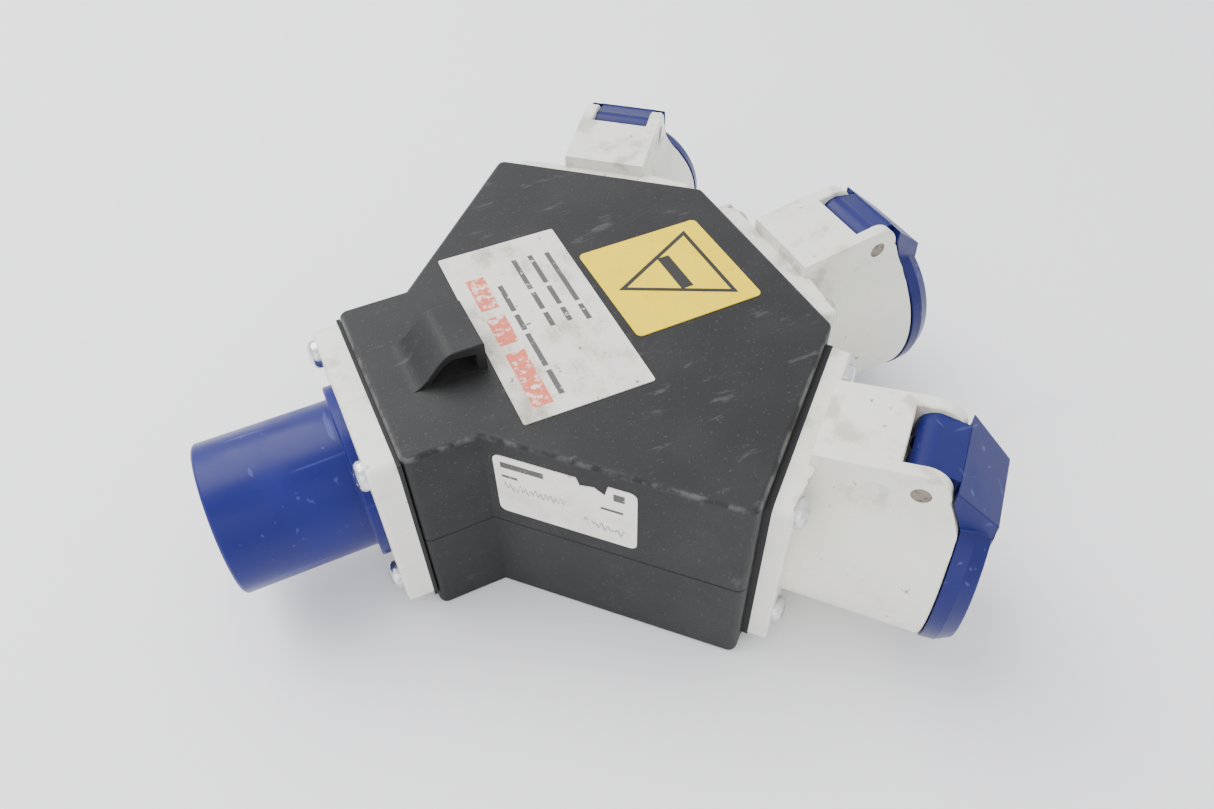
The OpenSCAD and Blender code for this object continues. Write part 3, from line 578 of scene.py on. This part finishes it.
print("outlets turned", [round(hinges[s]["axis"][0], 3) for s in SIDES])

# %% [markdown]
# The housing is a square flange, a round barrel and a hinge block with two ears, all in
# one moulding, and concave webs lead from the barrel up to the block. The outer
# edges get small radii. The screw holes stay crisp.

# %% Housings
HINGE = Vector(hinges["middle"]["pos_m"]) / MM
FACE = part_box("middle_housing")[0].x / MM
FLANGE_FRONT = FACE + 6.2
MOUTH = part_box("middle_housing")[1].x / MM
WEB_RADIUS, BARREL_RADIUS, BLOCK_HALF = 12, 29.8, 15.8
FLANGE_RADIUS, FLANGE_EDGE = 1.1, 31
BLOCK_RADIUS, BLOCK_LOW, PIN_HOLE_REACH = 0.8, 72, 3.6
LIP_RADIUS, LIP_HIGH = 0.5, 60


def off_hinge(p):
    return (Vector((p.x, p.z)) - Vector((HINGE.x, HINGE.z))).length


def on_block(p):
    """On the hinge block, in front of the flange and clear of the holes for the pin."""
    return p.z > BLOCK_LOW and p.x > FLANGE_FRONT + 0.5 and off_hinge(p) > PIN_HOLE_REACH


bm = merged_copy("middle_housing")
flange = round_edges(
    bm, lambda p: near(p.x, FLANGE_FRONT) and square_reach(p, OUTLET_UP) > FLANGE_EDGE,
    FLANGE_RADIUS, 3,
)
block = round_edges(bm, on_block, BLOCK_RADIUS, 3, 40)
lips = round_edges(bm, lambda p: near(p.x, MOUTH) and p.z < LIP_HIGH, LIP_RADIUS, 3, 50)
print("flange", flange, "hinge block", block, "mouth", lips)
web_side = BLOCK_HALF + WEB_RADIUS
web_up = OUTLET_UP + ((BARREL_RADIUS + WEB_RADIUS) ** 2 - web_side ** 2) ** 0.5
turned_about = [(0, OUTLET_UP), (web_side, web_up), (-web_side, web_up)]
for_each_side(bm, "socket_body", white_plastic, "box", ["housing"], turned_about)

# %% [markdown]
# The lid is a shallow blue cap with a roof that slopes down from the hinge. It turns on
# the pin between the ears, so every piece of it rides on the lid's own body.

# %% Lids
KNUCKLE_REACH = 7.5
LID_RADIUS = 0.4

bm = merged_copy("middle_lid")
lid_edges = round_edges(bm, lambda p: off_hinge(p) > KNUCKLE_REACH, LID_RADIUS, 3, 32)
print("lid", lid_edges)
for_each_side(bm, "cover", lid_blue, "{}_lid_body", ["lid"])

# %% [markdown]
# Screws, pins and the rest of the exact parts keep their shape. Round ones are copied
# and smoothed, and the others just take a finish.

# %% Screws and hinge pins
bm = merged_copy("inlet_flange_screws")
finish_piece(bm, "inlet_plate_screws", zinc, "box", ["inlet_flange_screws"])
bm = merged_copy("middle_flange_screws")
for_each_side(bm, "body_screws", zinc, "box", ["flange_screws"])
bm = merged_copy("middle_hinge_pin")
for_each_side(bm, "pivot", pin_steel, "box", ["hinge_pin"])

# %% Finishes of the parts that keep their shape
finishes = {
    "gasket": black_rubber, "seal": black_rubber, "carrier": black_plastic,
    "core": black_plastic, "inserts": brass,
    "contacts": brass, "contact": brass, "pin": brass, "spring": spring_wire, "screws": zinc,
    "line_wires": brown_wire, "neutral_wires": blue_wire, "earth_wires": green_wire,
    "hazard_label": yellow_film, "plate_label": plate_film, "test_label": test_film,
}
for name, part in nodes.items():
    if part.hide_render:
        continue
    finish = finishes.get(name) or finishes[name.split("_")[-1]]
    part.data.materials.clear()
    part.data.materials.append(finish)
print("finished", sum(not part.hide_render for part in nodes.values()), "exact parts")

# %% [markdown]
# Prints. The films carry plain marks with no lettering: a triangle with a bar on the
# yellow one, rows of worn rules on the white one, and a few rules and pen strokes on
# the small one. Each mark is a very thin closed layer that lies in its film.

# %% Helpers for prints
PRINT_THICK = 0.06


def print_piece(bm, name, material, matrix):
    """Moves a print from its own plane on to its film and finishes it."""
    bmesh.ops.transform(bm, matrix=matrix, verts=bm.verts)
    bmesh.ops.recalc_face_normals(bm, faces=bm.faces)
    finish_piece(bm, name, material, "box", even=False)


def add_rule(bm, x0, x1, y0, y1):
    """A thin flat bar between two corners, in millimetres, in the film's own plane."""
    made = bmesh.ops.create_cube(bm, size=1)["verts"]
    bmesh.ops.scale(bm, vec=((x1 - x0) * MM, (y1 - y0) * MM, PRINT_THICK * MM), verts=made)
    bmesh.ops.translate(bm, vec=((x0 + x1) / 2 * MM, (y0 + y1) / 2 * MM, 0), verts=made)


def on_film(film, degrees):
    """The middle of a film's upper face, turned about the upright."""
    low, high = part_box(film)
    middle = ((low.x + high.x) / 2, (low.y + high.y) / 2, high.z)
    return Matrix.Translation(middle) @ Matrix.Rotation(radians(degrees), 4, "Z")


plate_place = on_film("plate_label", -1.2)
hazard_place = on_film("hazard_label", 0)
print("plate at", plate_place.translation, "yellow film at", hazard_place.translation)

# %% Triangle on the yellow film
def triangle_band(bm, apex, base, half, width):
    """A band inside a triangle: its inner edge is its outer one shrunk about the incircle."""
    side = ((base - apex) ** 2 + half ** 2) ** 0.5
    reach = half * (base - apex) / (half + side)
    centre = Vector((base - reach, 0, 0))
    shrink = (reach - width) / reach
    outer = [Vector(p) for p in ((apex, 0, 0), (base, -half, 0), (base, half, 0))]
    inner = [centre + shrink * (p - centre) for p in outer]
    rings = [[bm.verts.new(p * MM) for p in ring] for ring in (outer, inner)]
    for i in range(3):
        j = (i + 1) % 3
        bm.faces.new((rings[0][i], rings[0][j], rings[1][j], rings[1][i]))
    made = bmesh.ops.extrude_face_region(bm, geom=list(bm.faces))["geom"]
    raised = [g for g in made if isinstance(g, bmesh.types.BMVert)]
    bmesh.ops.translate(bm, vec=(0, 0, PRINT_THICK * MM), verts=raised)


bm = bmesh.new()
triangle_band(bm, -18.8, 16.6, 18.9, 1.5)
add_rule(bm, 0.5, 5, -9, 9)
print_piece(bm, "triangle_print", black_print, hazard_place)

# %% Rules on the white film
WIDE_RULES = ((-37, -12), (-8, 6), (10, 27))
THIN_RULES = (
    (-6.5, ((-35, -24), (-22, -6), (-4, 4), (6, 20))),
    (2.5, ((-6, 1), (3, 12), (14, 31))),
    (8.5, ((-6, 1), (3, 13), (15, 31))),
    (14.5, ((-8, 0), (2, 30))),
)
THIN_HALF = 0.9

bm = bmesh.new()
for y0, y1 in WIDE_RULES:
    add_rule(bm, -16.5, -10, y0, y1)
print_piece(bm, "wide_rules_print", red_print, plate_place)

bm = bmesh.new()
for x, lengths in THIN_RULES:
    for y0, y1 in lengths:
        add_rule(bm, x - THIN_HALF, x + THIN_HALF, y0, y1)
print_piece(bm, "thin_rules_print", grey_print, plate_place)

# %% Marks on the small film
# The small film lies on the wall between these two corners of the shell
WALL_START = Vector((-47.7, -35.8, 0))
WALL_END = Vector((9.785, -95.976, 0))
FILM_THICK = 0.3
SMALL_RULES = (
    (5.6, 19.5, 66.8, 69.4),
    (5.6, 10.8, 62.2, 63.3),
    (37.5, 44.5, 60.6, 61.7),
    (41.5, 45, 66.3, 69.6),
)

wall = (WALL_END - WALL_START).normalized()
outwards = Vector((wall.y, -wall.x, 0))
wall_place = Matrix((wall, Vector((0, 0, 1)), outwards)).transposed().to_4x4()
wall_place.translation = (WALL_START + outwards * FILM_THICK) * MM

bm = bmesh.new()
for mark in SMALL_RULES:
    add_rule(bm, *mark)
print_piece(bm, "small_rules_print", grey_print, wall_place)


def pen_stroke(name, points, radius):
    """A pen line as a thin tube half sunk in the film."""
    curve = bpy.data.curves.new(name, "CURVE")
    curve.dimensions = "3D"
    curve.bevel_depth = radius * MM
    curve.bevel_resolution = 1
    curve.use_fill_caps = True
    line = curve.splines.new("POLY")
    line.points.add(len(points) - 1)
    for point, (x, y) in zip(line.points, points):
        point.co = (x * MM, y * MM, 0, 1)
    drawn = bpy.data.objects.new(name + "_curve", curve)
    bpy.context.scene.collection.objects.link(drawn)
    bm = bmesh.new()
    bm.from_mesh(drawn.to_mesh())
    bpy.data.objects.remove(drawn)
    print_piece(bm, name, pen_ink, wall_place)


wave = [(6 + 0.5 * k, 58 + 1.7 * sin(1.9 * k) + 0.5 * sin(0.7 * k)) for k in range(42)]
scrawl = [(32 + 0.42 * k, 52.5 - 0.06 * k + 2.0 * sin(1.3 * k) * cos(0.21 * k)) for k in range(32)]
pen_stroke("date_stroke", wave, 0.16)
pen_stroke("name_stroke", scrawl, 0.18)

# %% [markdown]
# The studio. A pale floor and large soft lights give faint shadows under the box.

# %% Floor and lights
FLOOR_HALF = 4
BOX_MIDDLE = Vector((0, 0, 0.04))

floor_white = screen(246, 246, 248)
floor_material, tree, shader = plain_material("pale_floor", floor_white, 0.6)
grime = mask(tree, noise(tree, 7, 6.0, (1, 2.2, 1), (0, 0, 0.5), 0.65), 0.58, 0.8, 0.25)
connect(tree, mix(tree, grime, floor_white, screen(214, 214, 219)), shader.inputs["Base Color"])
bm = bmesh.new()
bmesh.ops.create_grid(bm, x_segments=1, y_segments=1, size=FLOOR_HALF)
floor_mesh = bpy.data.meshes.new("floor")
bm.to_mesh(floor_mesh)
bm.free()
floor_mesh.materials.append(floor_material)
floor = bpy.data.objects.new("floor", floor_mesh)
bpy.context.scene.collection.objects.link(floor)


def soft_light(name, spot, size, power):
    """A square lamp that looks at the middle of the box."""
    lamp = bpy.data.lights.new(name, "AREA")
    lamp.size = size
    lamp.energy = power
    light = bpy.data.objects.new(name, lamp)
    light.location = spot
    light.rotation_euler = (BOX_MIDDLE - Vector(spot)).to_track_quat("-Z", "Y").to_euler()
    bpy.context.scene.collection.objects.link(light)


soft_light("key_light", (-0.35, 0.6, 1.1), 1.2, 20)
soft_light("fill_light", (-0.8, -0.9, 0.7), 1.2, 5)
world = bpy.data.worlds.new("studio")
world.use_nodes = True
world.node_tree.nodes["Background"].inputs["Color"].default_value = (0.96, 0.97, 1, 1)
world.node_tree.nodes["Background"].inputs["Strength"].default_value = 1.45
bpy.context.scene.world = world
print("studio ready")
